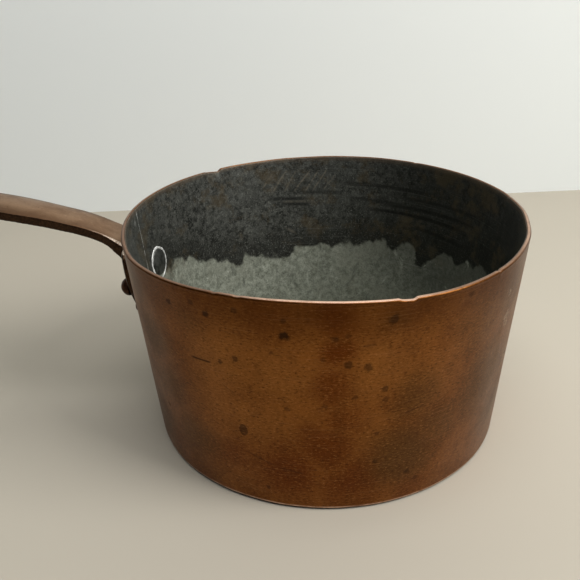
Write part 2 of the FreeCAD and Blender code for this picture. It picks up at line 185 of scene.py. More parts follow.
def turned(name, bearings, section, whole_circle, closed_section=True):
    """Carry a section of (radius, height) points round the pan and wear it."""
    section = np.array(section)
    around = np.array(bearings)[:, None]
    points = worn(around, section[None, :, 0], section[None, :, 1])
    rows, columns = points.shape[:2]
    faces = grid_faces(rows, columns, whole_circle, closed_section)
    if not whole_circle:
        faces += end_caps(rows, columns)
    return mesh_object(name, points.reshape(-1, 3), faces)


def arc(centre, radius, start, finish, steps):
    """Points of an arc in the section plane; angles in degrees."""
    angles = np.radians(np.linspace(start, finish, steps))
    return [(centre[0] + radius * math.cos(a), centre[1] + radius * math.sin(a)) for a in angles]


def spaced(start, finish, step):
    """Even steps from start to finish, both included."""
    return np.linspace(start, finish, max(2, int(abs(finish - start) / step) + 1))


def wall_points(start, finish, step, inset=0.0):
    """Section points from one height to another, set in from the wall's outer face."""
    return [(wall_radius(height) - inset, height) for height in spaced(start, finish, step)]


def declared(piece, node=None):
    """Hide the CAD node that a piece stands for, if there is one, and attach the piece to the root body."""
    if node:
        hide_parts(node)
    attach(piece, "root")
    return piece


# ---------- the pan

FINE_FROM = HEIGHT - 9.0 * MM  # sections are closer from here up, for the dents in the rim
SEAM_PROUD = 0.06 * MM
WALL_STEPS, LINING_STEPS = 640, 480


def wall_section():
    """The wall's closed section: foot, outside, rim, inside and the turned-in foot."""
    lean = math.degrees(DRAFT)
    bend_reach = FOOT_ROUND * math.tan(math.radians(90.0 - lean) / 2)
    bend_centre = (FOOT - bend_reach, FOOT_ROUND)
    outside_start = FOOT_ROUND * (1.0 - math.sin(math.radians(lean)))
    rim_round, rim_inner = 1.25 * MM, 0.45 * MM
    points = [(TURN_IN, 0.0)]
    points += arc(bend_centre, FOOT_ROUND, -90.0, -lean, 9)
    points += wall_points(outside_start + 1.0 * MM, FINE_FROM, 1.6 * MM)
    points += wall_points(FINE_FROM + 0.8 * MM, HEIGHT - rim_round, 0.8 * MM)
    points += arc((RIM - rim_round, HEIGHT - rim_round), rim_round, 10.0, 90.0, 6)
    inner_rim = RIM - SLANT_SHEET
    points += arc((inner_rim + rim_inner, HEIGHT - rim_inner), rim_inner, 90.0, 170.0, 4)
    points += wall_points(HEIGHT - 1.5 * MM, FINE_FROM, 1.5 * MM, SLANT_SHEET)
    points += wall_points(FINE_FROM - 6 * MM, 8 * MM, 8 * MM, SLANT_SHEET)
    inner_round = FOOT_ROUND - SHEET
    points += arc((bend_centre[0], SHEET + inner_round), inner_round, -lean, -90.0, 5)
    points.append((TURN_IN, SHEET))
    return points


def make_wall():
    """The rolled copper wall, open by the width of its brazed seam behind the handle."""
    start = HANDLE_BEARING + SEAM_HALF
    bearings = np.linspace(start, start + 360.0 - 2 * SEAM_HALF, WALL_STEPS + 1)
    wall = turned("pan_wall_worn", bearings, wall_section(), whole_circle=False)
    return declared(wall, "pan_wall")


def make_side_seam():
    """The line of spelter that closes the wall, a little proud of the copper."""
    section = []
    for radius, height in wall_section():
        outside = radius > wall_radius(height) - SHEET / 5
        section.append((radius + (SEAM_PROUD if outside else 0.0), height))
    bearings = np.linspace(HANDLE_BEARING - SEAM_HALF, HANDLE_BEARING + SEAM_HALF, 4)
    seam = turned("side_seam_worn", bearings, section, whole_circle=False)
    return declared(seam, "side_seam_braze")


def lining_section():
    """The lining's section from the middle of its top face round to the middle of its back."""
    lean = math.degrees(DRAFT)
    level = SHEET + TIN
    bend = FOOT_ROUND - SHEET - TIN
    corner = wall_radius(level) - SLANT_TIN
    bend_centre = corner - bend * math.tan(math.radians(90.0 - lean) / 2)
    points = [(float(r), level) for r in spaced(0.0, bend_centre - 1 * MM, 4 * MM)]
    points += arc((bend_centre, level + bend), bend, -90.0, -lean, 6)
    points += wall_points(level + bend + 1 * MM, FINE_FROM, 1.5 * MM, SLANT_TIN)
    points += wall_points(FINE_FROM + 0.8 * MM, HEIGHT - 0.5 * MM, 0.8 * MM, SLANT_TIN)
    hidden = 0.05 * MM
    points.append((RIM - SLANT_TIN + 0.1 * MM, HEIGHT - 0.25 * MM))
    points.append((RIM - SLANT_SHEET + hidden, HEIGHT - 0.35 * MM))
    points += wall_points(HEIGHT - 2 * MM, FINE_FROM, 1.5 * MM, SLANT_SHEET - hidden)
    points += wall_points(FINE_FROM - 6 * MM, 8 * MM, 8 * MM, SLANT_SHEET - hidden)
    points.append((bend_centre + 1.5 * MM, SHEET - hidden))
    points.append((0.0, SHEET - hidden))
    return points


def make_lining():
    """The wiped tin inside, with slow waves in its surface."""
    bearings = np.arange(LINING_STEPS) * (360.0 / LINING_STEPS)
    lining = turned("tin_lining_worn", bearings, lining_section(), True, closed_section=False)
    return declared(lining, "tin_lining")


def wall_frame(bearing, height):
    """Matrix that puts local +Z square to the wall's outer face and local +X up the wall."""
    turn = math.radians(bearing)
    out = Vector((math.cos(turn) * math.cos(DRAFT), math.sin(turn) * math.cos(DRAFT), -math.sin(DRAFT)))
    radius = wall_radius(height)
    place = Vector((radius * math.cos(turn), radius * math.sin(turn), height))
    up = out.cross(Vector((-math.sin(turn), math.cos(turn), 0.0)))
    side = out.cross(up)
    return Matrix.Translation(place) @ Matrix((
        (up.x, side.x, out.x, 0), (up.y, side.y, out.y, 0), (up.z, side.z, out.z, 0), (0, 0, 0, 1),
    ))


# ---------- rivets

SHANK = 3.2 * MM
OUTER_HEAD, OUTER_DOME = 5.2 * MM, 4.7 * MM
INNER_HEAD, INNER_EDGE, INNER_DOME = 8.4 * MM, 0.7 * MM, 1.5 * MM
TIN_RING = 9.0 * MM


def make_rivet(name, bearing, height, seed):
    """One hammered rivet: round head outside, shank, flattened head inside."""
    draw = np.random.default_rng(seed)
    under = PLATE - 0.2 * MM
    section = [(0.0, under + OUTER_DOME)]
    for angle in np.linspace(80.0, 0.0, 11):
        turn = math.radians(angle)
        section.append((OUTER_HEAD * math.cos(turn), under + OUTER_DOME * math.sin(turn)))
    section += [(OUTER_HEAD - 0.2 * MM, under - 0.3 * MM), (SHANK, under - 0.3 * MM)]
    section += [(SHANK, -SHEET + 0.1 * MM), (INNER_HEAD - 0.1 * MM, -SHEET + 0.1 * MM)]
    section.append((INNER_HEAD, -SHEET - 0.5 * INNER_EDGE))
    for share in np.linspace(0.98, 0.15, 8):
        bulge = (INNER_DOME - INNER_EDGE) * (1 - share ** 2)
        section.append((INNER_HEAD * share, -SHEET - INNER_EDGE - bulge))
    section.append((0.0, -SHEET - INNER_DOME))
    section = np.array(section)
    around = 64
    turns = np.radians(np.arange(around) * 360.0 / around)[:, None]
    facets = 1.0 + 0.02 * np.sin(3 * turns + draw.uniform(0, 6)) + 0.015 * np.sin(7 * turns + 1.0)
    radius = section[None, :, 0] * facets
    flat = 0.12 * MM * np.sin(2 * turns + draw.uniform(0, 6)) * (section[None, :, 0] / OUTER_HEAD)
    high = section[None, :, 1] + flat * (np.abs(section[None, :, 1]) > PLATE)
    points = np.stack([radius * np.cos(turns), radius * np.sin(turns), high], axis=-1)
    faces = grid_faces(around, len(section), True, False)
    rivet = mesh_object(f"{name}_hammered", points.reshape(-1, 3), faces)
    rivet.data.transform(wall_frame(bearing, height))
    return declared(rivet, name)


def make_tin_ring(name, bearing, height, seed):
    """The raised bright ring of tin round an inner head, drawn down to a point as the tin ran."""
    draw = np.random.default_rng(seed)
    steps, around = 144, 12
    shift = draw.uniform(0, 6)
    points = []
    for step in range(steps):
        turn = 2 * math.pi * step / steps
        reach = TIN_RING * (1 + 0.03 * math.sin(2 * turn + shift) + 0.015 * math.sin(5 * turn + shift))
        reach *= 1.0 + 0.16 * max(0.0, -math.cos(turn)) ** 8
        thick = 0.66 + 0.2 * math.sin(turn + shift) + 0.12 * math.sin(7 * turn + shift)
        thick = (thick + 0.08 * math.sin(17 * turn)) * MM
        up, side = reach * math.cos(turn), reach * math.sin(turn)
        inner_radius = wall_radius(height) - SLANT_TIN
        sag = side ** 2 / (2 * inner_radius)
        for k in range(around):
            roll = 2 * math.pi * k / around
            out = thick * math.cos(roll)
            rise = -(SHEET + TIN) - sag - 0.45 * thick * math.sin(roll)
            scale = 1.0 + out / reach
            points.append((up * scale, side * scale, rise))
    ring = mesh_object(f"{name}_tin_ring", points, grid_faces(steps, around, True, True))
    ring.data.transform(wall_frame(bearing, height))
    return declared(ring)


# ---------- the handle

# The line of the strap's upper edges, seen from the side: a bend, a long bend, a straight run.
ROOT_REACH, ROOT_RISE = 106.0 * MM, 99.1 * MM
ROOT_SLOPE, MIDDLE_SLOPE, END_SLOPE = math.radians(35.0), math.radians(12.0), math.radians(8.0)
ROOT_BEND, LONG_BEND = 107.0 * MM, 730.0 * MM
EYE_OUTSIDE, EYE_INSIDE, EYE_THICK = 16.5 * MM, 7.0 * MM, 6.0 * MM
EYE_DROP = EYE_THICK / 2 - 0.88 * MM  # from the line of the strap down to the eye's middle


def strap_line(reach):
    """Height and slope of the strap's upper edges at a distance from the pan's axis."""
    first = ROOT_REACH + ROOT_BEND * (math.sin(ROOT_SLOPE) - math.sin(MIDDLE_SLOPE))
    second = first + LONG_BEND * (math.sin(MIDDLE_SLOPE) - math.sin(END_SLOPE))
    rise_first = ROOT_RISE + ROOT_BEND * (math.cos(MIDDLE_SLOPE) - math.cos(ROOT_SLOPE))
    rise_second = rise_first + LONG_BEND * (math.cos(END_SLOPE) - math.cos(MIDDLE_SLOPE))
    if reach < first:
        slope = math.asin(math.sin(ROOT_SLOPE) - (reach - ROOT_REACH) / ROOT_BEND)
        return ROOT_RISE + ROOT_BEND * (math.cos(slope) - math.cos(ROOT_SLOPE)), slope
    if reach < second:
        slope = math.asin(math.sin(MIDDLE_SLOPE) - (reach - first) / LONG_BEND)
        return rise_first + LONG_BEND * (math.cos(slope) - math.cos(MIDDLE_SLOPE)), slope
    return rise_second + (reach - second) * math.tan(END_SLOPE), END_SLOPE


def blend_table(value, table):
    """Smooth interpolation in a short table of (position, size) pairs."""
    places, sizes = zip(*table)
    for low, high, a, b in zip(places, places[1:], sizes, sizes[1:]):
        if value <= high:
            return a + (b - a) * float(smooth_step(value, low, high))
    return sizes[-1]


# Sizes of the strap at distances from the pan's axis, and of the plate at heights.
HALF_WIDTHS = [(106 * MM, 16.0 * MM), (113 * MM, 12.8 * MM), (126 * MM, 10.8 * MM), (150 * MM, 11.8 * MM),
               (185 * MM, 13.7 * MM), (285 * MM, 12.8 * MM), (328 * MM, 16.0 * MM)]
EDGE_THICKNESSES = [(106 * MM, 8.5 * MM), (122 * MM, 5.6 * MM), (150 * MM, 5.5 * MM), (190 * MM, 5.2 * MM),
                    (328 * MM, 4.8 * MM)]
CROWNS = [(106 * MM, 0.3 * MM), (125 * MM, 0.5 * MM), (165 * MM, 2.7 * MM), (290 * MM, 2.3 * MM),
          (328 * MM, 0.6 * MM)]
PLATE_HALF_WIDTHS = [
    (PLATE_TIP, 0.0), (52.5 * MM, 7.6 * MM), (59.5 * MM, 10.5 * MM), (66 * MM, 13.2 * MM),
    (73 * MM, 18.0 * MM), (80 * MM, 22.4 * MM), (87 * MM, 24.4 * MM), (95 * MM, 24.4 * MM),
    (100 * MM, 23.4 * MM), (PLATE_TOP, 21.0 * MM),
]
BELLY = 0.5 * MM  # how far the strap's underside bulges
STRAP_START = 106.6 * MM
VOXEL = 0.6 * MM  # the grain of the mesh that joins plate, strap and eye


def make_strap_stock(eye_reach):
    """The strap as a closed tube of D-shaped sections."""
    points = []
    reaches = spaced(STRAP_START, eye_reach - EYE_INSIDE - 1.5 * MM, 2.0 * MM)
    for reach in reaches:
        rise, slope = strap_line(reach)
        half = blend_table(reach, HALF_WIDTHS)
        thick = blend_table(reach, EDGE_THICKNESSES)
        crown = blend_table(reach, CROWNS)
        across = Vector((math.sin(slope), 0, math.cos(slope)))
        anchor = Vector((-reach, 0, rise))
        outline = []
        for share in np.linspace(-1, 1, 15):
            outline.append((share * half, crown * (1 - abs(share) ** 2.4)))
        for share in np.linspace(1, -1, 9):
            outline.append((share * (half - 0.9 * MM), -thick - BELLY * (1 - share ** 2)))
        for side, high in outline:
            points.append(anchor + Vector((0, side, 0)) + across * high)
    columns = len(outline)
    faces = grid_faces(len(reaches), columns, False, True) + end_caps(len(reaches), columns)
    return mesh_object("strap_stock", points, faces)


def make_plate_stock():
    """The shield plate, curved to the wall, thick in the middle and thinner at its borders."""
    heights = spaced(PLATE_TIP + 0.2 * MM, PLATE_TOP, 1.2 * MM)
    columns = 33
    outer, inner = [], []
    for height in heights:
        half = float(np.interp(height, *zip(*PLATE_HALF_WIDTHS)))
        radius = wall_radius(height)
        for share in np.linspace(-1, 1, columns):
            side = share * half
            bearing = math.asin(side / (radius + PLATE))
            ends = min(height - PLATE_TIP, PLATE_TOP - height + 2 * MM)
            border = min((1 - abs(share)) * half, ends)
            thick = PLATE - 0.9 * MM * (1 - float(smooth_step(border, 0.0, 3.0 * MM)))
            reach = radius + thick / math.cos(DRAFT)
            outer.append((-reach * math.cos(bearing), reach * math.sin(bearing), height))
            into = radius - 0.5 * MM
            inner.append((-into * math.cos(bearing), into * math.sin(bearing), height))
    rows = len(heights)
    count = rows * columns
    faces = grid_faces(rows, columns, False, False)
    back = [tuple(count + i for i in reversed(face)) for face in faces]
    border = list(range(columns))
    border += [row * columns + columns - 1 for row in range(1, rows)]
    border += [(rows - 1) * columns + i for i in reversed(range(columns - 1))]
    border += [row * columns for row in reversed(range(1, rows - 1))]
    sides = []
    for place, first in enumerate(border):
        second = border[(place + 1) % len(border)]
        sides.append((first, second, count + second, count + first))
    return mesh_object("plate_stock", outer + inner, faces + back + sides)


# The root's hollow under the strap: centre and radius in side view, then the corners buried in the
# strap and the plate, and the curve that the plate follows round the wall.
ROOT_CENTRE, ROOT_HOLLOW = (125.0 * MM, 89.5 * MM), 12.0 * MM
ROOT_CORNERS = [(118.0 * MM, 103.5 * MM), (108.5 * MM, 100.5 * MM), (108.0 * MM, 89.0 * MM)]
ROOT_HALF_WIDTH, ROOT_WRAP = 12.4 * MM, 112.0 * MM


def make_root_stock():
    """The hollow curve that carries the strap's underside into the plate."""
    widths = np.linspace(-1, 1, 17)
    curve = arc(ROOT_CENTRE, ROOT_HOLLOW, 185.0, 114.0, 14)
    points = []
    for share in widths:
        side = share * ROOT_HALF_WIDTH
        sag = side ** 2 / (2 * ROOT_WRAP)
        for reach, height in curve:
            fade = float(smooth_step(height, ROOT_CENTRE[1] + ROOT_HOLLOW, ROOT_CENTRE[1]))
            points.append((-(reach - sag * fade), side, height))
        for reach, height in ROOT_CORNERS:
            points.append((-reach, side, height))
    columns = len(curve) + len(ROOT_CORNERS)
    faces = grid_faces(len(widths), columns, False, True) + end_caps(len(widths), columns)
    return mesh_object("root_stock", points, faces)


def make_eye_stock(eye_reach):
    """The hanging eye: a rounded ring in line with the strap's straight end."""
    rise, slope = strap_line(eye_reach)
    section = []
    middle = (EYE_OUTSIDE + EYE_INSIDE) / 2
    half_wide, half_high = (EYE_OUTSIDE - EYE_INSIDE) / 2, EYE_THICK / 2
    for angle in np.arange(24) * 15.0:
        turn = math.radians(angle)
        wide = math.copysign(abs(math.cos(turn)) ** 0.55, math.cos(turn))
        high = math.copysign(abs(math.sin(turn)) ** 0.55, math.sin(turn))
        section.append((middle + half_wide * wide, half_high * high))
    points = []
    for turn in np.radians(np.arange(72) * 5.0):
        for radius, high in section:
            points.append((radius * math.cos(turn), radius * math.sin(turn), high))
    eye = mesh_object("eye_stock", points, grid_faces(72, len(section), True, True))
    tilt = Matrix.Rotation(slope, 4, "Y")
    place = Vector((-eye_reach, 0, rise)) - Vector((math.sin(slope), 0, math.cos(slope))) * EYE_DROP
    eye.data.transform(Matrix.Translation(place) @ tilt)
    return eye


def apply_modifiers(piece):
    """Replace a piece's mesh by its evaluated one."""
    depsgraph = bpy.context.evaluated_depsgraph_get()
    result = bpy.data.meshes.new_from_object(piece.evaluated_get(depsgraph))
    piece.modifiers.clear()
    piece.data = result


def make_handle():
    """Plate, strap and eye forged into one piece: joined, remeshed fine and smoothed."""
    eye_reach = -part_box("handle")[0].x - EYE_OUTSIDE * math.cos(END_SLOPE)
    stocks = [make_strap_stock(eye_reach), make_plate_stock(), make_root_stock(), make_eye_stock(eye_reach)]
    form = bmesh.new()
    for stock in stocks:
        form.from_mesh(stock.data)
        bpy.data.objects.remove(stock)
    mesh = bpy.data.meshes.new("handle_forged")
    form.to_mesh(mesh)
    form.free()
    handle = placed("handle_forged", mesh)
    remesh = handle.modifiers.new("remesh", "REMESH")
    remesh.mode = "VOXEL"
    remesh.voxel_size = VOXEL
    smooth = handle.modifiers.new("smooth", "SMOOTH")
    smooth.factor = 0.5
    smooth.iterations = 5
    apply_modifiers(handle)
    for polygon in handle.data.polygons:
        polygon.use_smooth = True
    return declared(handle, "handle")


# ---------- materials


class Wire:
    """A value inside a node material, with plain arithmetic on it."""

    def __init__(self, paint, socket):
        self.paint = paint
        self.socket = socket

    def __add__(self, other):
        return self.paint.maths("ADD", self, other)

    def __sub__(self, other):
        return self.paint.maths("SUBTRACT", self, other)

    def __rsub__(self, other):
        return self.paint.maths("SUBTRACT", other, self)

    def __mul__(self, other):
        return self.paint.maths("MULTIPLY", self, other)

    def __abs__(self):
        return self.paint.maths("ABSOLUTE", self)

    def or_more(self, other):
        """The larger of this and another value."""
        return self.paint.maths("MAXIMUM", self, other)

    def span(self, low, high, to_low=0.0, to_high=1.0):
        """Map low..high to to_low..to_high along an S-curve."""
        inputs = {"Value": self, "From Min": low, "From Max": high, "To Min": to_low, "To Max": to_high}
        return self.paint.add("MapRange", "Result", inputs, interpolation_type="SMOOTHSTEP")

    def mix(self, first, second):
        """Mix two colours, with this as the share of the second."""
        first_colour, second_colour, colour_out = 6, 7, 2
        inputs = {"Factor": self, first_colour: first, second_colour: second}
        return self.paint.add("Mix", colour_out, inputs, data_type="RGBA")

    def bump(self, strength, depth, base=None):
        """A normal with this height as relief, over another normal; depth in metres."""
        inputs = {"Height": self, "Strength": strength, "Distance": depth, "Normal": base}
        return self.paint.add("Bump", "Normal", inputs)


class Paint:
    """Short calls for building a node material."""

    def __init__(self, name):
        self.material = bpy.data.materials.new(name)
        self.material.use_nodes = True
        self.nodes = self.material.node_tree.nodes
        self.surface = self.nodes["Principled BSDF"]
        self.coords = self.add("TexCoord", "Object")

    def put(self, value, socket):
        """Link a wire to a socket, or set a plain value; None leaves the socket as it is."""
        if isinstance(value, Wire):
            self.material.node_tree.links.new(value.socket, socket)
        elif value is not None:
            socket.default_value = (*value, 1.0) if socket.type == "RGBA" else value

    def add(self, kind, output, inputs=None, **settings):
        """Add a node with its settings and inputs, and return one of its outputs."""
        node = self.nodes.new("ShaderNode" + kind)
        for name, value in settings.items():
            setattr(node, name, value)
        for name, value in (inputs or {}).items():
            self.put(value, node.inputs[name])
        return Wire(self, node.outputs[output])

    def finish(self, colour, metallic, roughness, normal=None):
        """Set the surface's inputs and return the material."""
        inputs = {"Base Color": colour, "Metallic": metallic, "Roughness": roughness, "Normal": normal}
        for name, value in inputs.items():
            self.put(value, self.surface.inputs[name])
        return self.material

    def maths(self, operation, *values):
        """A Math node's result."""
        return self.add("Math", 0, dict(enumerate(values)), operation=operation)

    def stretch(self, coords, scale=(1, 1, 1), move=(0, 0, 0), turn=(0, 0, 0)):
        """Coordinates scaled, moved and turned."""
        inputs = {"Vector": coords, "Scale": scale, "Location": move, "Rotation": turn}
        return self.add("Mapping", "Vector", inputs)

    def noise(self, scale, detail=4.0, rough=0.55, distort=0.0, coords=None, output="Fac"):
        """Noise between 0 and 1, over the object's coordinates or others."""
        inputs = {"Vector": coords or self.coords, "Scale": scale, "Detail": detail, "Roughness": rough}
        return self.add("TexNoise", output, {**inputs, "Distortion": distort})

    def parts(self, coords):
        """The three numbers of a vector."""
        return [self.add("SeparateXYZ", axis, {0: coords}) for axis in range(3)]

    def unrolled(self):
        """The wall laid flat: metres round from +X, metres up, and 0."""
        x, y, z = self.parts(self.coords)
        return self.add("CombineXYZ", 0, {0: self.maths("ARCTAN2", y, x) * RIM, 1: z})

    def facing_up(self):
        """How far the surface faces up, -1 to 1."""
        return self.parts(self.add("NewGeometry", "Normal"))[2]

    def from_axis(self):
        """Distance from the pan's axis."""
        x, y = self.parts(self.coords)[:2]
        return self.maths("SQRT", x * x + y * y)

    def bearing(self):
        """Bearing round the pan, 0 to 1 for 0 to 360 degrees."""
        x, y = self.parts(self.coords)[:2]
        return self.maths("FRACT", self.maths("ARCTAN2", y, x) * (0.5 / math.pi) + 1.0)

    def curve(self, value, points):
        """A smooth curve through points, from 0..1 to 0..1."""
        node = self.nodes.new("ShaderNodeFloatCurve")
        line = node.mapping.curves[0]
        for place, size in points[1:-1]:
            line.points.new(place, size)
        line.points[0].location = points[0]
        line.points[-1].location = points[-1]
        node.mapping.update()
        self.put(value, node.inputs["Value"])
        return Wire(self, node.outputs["Value"])

    def distance(self, coords, point):
        """Distance of coords from a fixed point."""
        return self.add("VectorMath", "Value", {0: coords, 1: point}, operation="DISTANCE")


def on_wall(bearing, height):
    """The point of the wall's outer face at a bearing in degrees and a height in millimetres."""
    turn = math.radians(bearing)
    radius = wall_radius(height * MM)
    return (radius * math.cos(turn), radius * math.sin(turn), height * MM)


# Round marks are each a bearing in degrees, a height in mm, a radius in mm and a strength.
# Dark spots of tarnish on the outside.
TARNISH = [
    (266, 105, 2.4, 0.85), (266, 112.5, 1.6, 0.45), (246, 110, 1.7, 0.7), (234, 110, 1.5, 0.6),
    (242, 114.5, 1.5, 0.45), (254, 115, 1.8, 0.45), (253, 89, 1.6, 0.55), (248.5, 85, 1.3, 0.5),
    (262.5, 95, 1.3, 0.4), (275, 93, 1.3, 0.4), (278, 104, 1.8, 0.5), (281, 90, 2.0, 0.55),
    (286, 88.5, 2.0, 0.55), (281, 105.5, 1.3, 0.35), (290.5, 75, 1.6, 0.5), (283, 71.5, 1.3, 0.4),
    (291, 68.5, 1.5, 0.4), (291.5, 112.5, 2.3, 0.6), (312, 116.5, 1.8, 0.5), (266, 64.5, 1.4, 0.4),
    (275.5, 67, 1.4, 0.35), (253, 47, 2.0, 0.6), (289, 31, 1.4, 0.45), (299, 19.5, 1.6, 0.45),
    (302, 13.5, 1.4, 0.4), (289, 48.5, 1.3, 0.35), (259, 12, 1.4, 0.45), (205, 70, 2.0, 0.5),
    (340, 60, 2.2, 0.5), (20, 84, 2.4, 0.6), (55, 42, 1.8, 0.5), (95, 95, 2.2, 0.6),
    (120, 55, 1.6, 0.5), (150, 30, 2.0, 0.5), (80, 22, 1.6, 0.4), (222, 38, 1.5, 0.4),
]
# Broad stains on the outside: redder and darker than the rest.
RED_STAINS = [
    (278, 114, 9, 0.9), (279, 98, 7, 0.85), (278, 80, 9, 0.7), (280, 60, 9, 0.6), (276, 42, 12, 0.75),
    (266, 24, 15, 0.8), (283, 20, 15, 0.8), (250, 28, 9, 0.5), (300, 8, 9, 0.5), (262, 118, 10, 0.4),
    (90, 60, 26, 0.5), (30, 30, 22, 0.5), (150, 90, 20, 0.4), (200, 30, 20, 0.5), (60, 100, 18, 0.4),
]
# Broad stains gone olive and dull.
OLIVE_STAINS = [
    (299, 64, 12, 0.55), (297, 32, 17, 0.7), (307, 45, 13, 0.5), (240, 100, 8, 0.3), (292, 111, 6, 0.4),
    (235, 30, 12, 0.5), (222, 84, 13, 0.6), (226, 55, 13, 0.5), (217, 108, 10, 0.5), (325, 60, 20, 0.6),
    (318, 95, 14, 0.4), (335, 30, 16, 0.6), (212, 25, 14, 0.5), (332, 100, 12, 0.4), (120, 40, 24, 0.5),
    (10, 80, 20, 0.5), (170, 40, 18, 0.5),
]
# Places where the patina is thin and golden.
GOLD_PATCHES = [
    (250, 88, 20, 0.7), (262, 82, 16, 0.6), (243, 60, 14, 0.45), (258, 58, 14, 0.45), (290, 86, 15, 0.55),
    (296, 100, 10, 0.4), (286, 55, 10, 0.35), (305, 78, 12, 0.35), (20, 60, 18, 0.5), (75, 85, 20, 0.5),
    (135, 70, 18, 0.5),
]
# Rubbed places where the patina has thinned to a greyish film.
RUBS = [
    (332, 89, 2.6, 0.8), (333, 84, 2.2, 0.6), (331, 104, 2.0, 0.5), (340, 60, 3.5, 0.35),
    (215, 70, 4.0, 0.25), (30, 60, 5.0, 0.4), (110, 90, 4.0, 0.4), (160, 50, 5.0, 0.35),
]
# The brightest stretches of the worn rim.
BRIGHT_RIM = [(278, 122, 45, 1.0), (352, 122, 30, 0.6), (60, 122, 30, 0.3)]
# Rubbed or splashed places inside.
PALE_MARKS = [
    (183, 115, 2.2, 0.55), (182, 111, 1.6, 0.35), (186, 97, 1.5, 0.35), (178, 86, 1.6, 0.45),
    (172, 82, 0.7, 0.7), (174, 84, 0.6, 0.5), (107, 71, 1.2, 0.7), (12, 105, 1.8, 0.4), (95, 88, 1.2, 0.3),
    (330, 80, 2.0, 0.4), (250, 90, 2.2, 0.4),
]
# Lines each run from one bearing and height to another, with their strength.
# Streaks of tarnish on the outside.
DARK_STREAKS = [
    (238.5, 82.5, 246, 83, 0.75), (248, 72, 252, 68, 0.3), (252.5, 34, 262, 27, 0.4),
    (262, 27, 270, 24, 0.3), (296, 58, 303, 61, 0.35), (284, 100, 288, 100.5, 0.35),
    (40, 60, 52, 61, 0.5), (130, 84, 140, 86, 0.5),
]
# Long scrapes inside.
SCRAPES = [
    (94, 114, 100, 98, 0.9), (97, 114, 103, 97, 0.8), (100, 114, 107, 98, 0.9), (105, 115, 111, 97, 0.7),
    (109, 114, 115, 99, 0.8), (114, 113, 119, 102, 0.5), (91, 110, 96, 99, 0.6), (112, 92, 99, 91, 0.5),
    (106, 68, 111, 74, 0.4), (300, 90, 250, 96, 0.5), (230, 70, 245, 85, 0.5),
]
# Long dark streaks inside, left by a scoured film.
FILM_STREAKS = [
    (117, 95, 101, 93, 0.9), (113, 91, 100, 89, 0.9), (108, 98, 88, 97, 0.6), (82, 87, 36, 86, 0.95),
    (76, 91, 30, 92, 0.8), (92, 104, 52, 103, 0.7), (70, 97, 28, 99, 0.6), (88, 94, 62, 92, 0.6),
    (62, 79, 34, 76, 0.7), (330, 85, 290, 83, 0.6), (240, 95, 200, 97, 0.5),
]
# The upper edge of the clean tin: share of a full turn, share of the pan's height.
CLEAN_EDGE = [
    (0.0, 0.60), (0.075, 0.575), (0.105, 0.55), (0.133, 0.545), (0.15, 0.465), (0.18, 0.515), (0.225, 0.505),
    (0.27, 0.475), (0.315, 0.455), (0.36, 0.45), (0.39, 0.50), (0.415, 0.525), (0.435, 0.585), (0.48, 0.60),
    (0.60, 0.52), (0.72, 0.56), (0.86, 0.54), (1.0, 0.60),
]
# One dark ring on the outside, squashed in height: its middle, already squashed, and its radius.
RING_SQUASH = (1, 1, 0.6)
RING_MARK = tuple(share * size for share, size in zip(RING_SQUASH, on_wall(253, 46.8)))
RING_RADIUS = 1.7 * MM
# The broad stains: their marks, how far and how finely the edges wander, softness, strength, colour.
BROAD_STAINS = [
    (GOLD_PATCHES, 22 * MM, 50.0, 0.8, 0.75, (0.29, 0.118, 0.029)),
    (RED_STAINS, 16 * MM, 45.0, 0.75, 1.0, (0.105, 0.024, 0.0035)),
    (OLIVE_STAINS, 18 * MM, 40.0, 0.75, 1.0, (0.085, 0.042, 0.012)),
]


def marks_on_wall(paint, coords, marks, soft=0.33):
    """How much of the surface lies under round marks, 0 to 1."""
    total = None
    for bearing, height, radius, dark in marks:
        away = paint.distance(coords, on_wall(bearing, height))
        mark = away.span(radius * (1 + soft) * MM, radius * (1 - soft) * MM, 0.0, dark)
        total = mark if total is None else total.or_more(mark)
    return total


def wobbly(paint, amount, scale):
    """Object coordinates shaken by noise, so that drawn marks get uneven edges."""
    shake = paint.noise(scale, 3.0, 0.5, output="Color")
    inputs = {0: shake, 1: (amount,) * 3, 2: (-amount / 2,) * 3}
    offset = paint.add("VectorMath", 0, inputs, operation="MULTIPLY_ADD")
    return paint.add("VectorMath", 0, {0: paint.coords, 1: offset}, operation="ADD")


def fine_lines(paint, flat, across, along, seed, low, high):
    """Thin marks: noise drawn out along one direction and cut to its peaks."""
    lines = paint.noise(1.0, 2.0, 0.5, coords=paint.stretch(flat, (along, across, 1), (seed, seed, 0)))
    return lines.span(low, high)


def scrape_lines(paint, flat, lines, half_width):
    """Thin straight marks on the unrolled wall, each fading out towards its ends."""
    x, y = paint.parts(flat)[:2]
    total = None
    for first, low, last, high, strength in lines:
        start = math.radians(bearing_gap(first, 0.0)) * RIM
        finish = math.radians(bearing_gap(last, 0.0)) * RIM
        middle, reach = (start + finish) / 2, abs(finish - start) / 2
        slope = (high - low) * MM / (finish - start)
        along = x - middle
        off = y - along * slope - (low + high) / 2 * MM
        mark = abs(off).span(half_width * 1.6, half_width * 0.3, 0.0, strength)
        mark = mark * abs(along).span(reach, reach * 0.6)
        total = mark if total is None else total.or_more(mark)
    return total


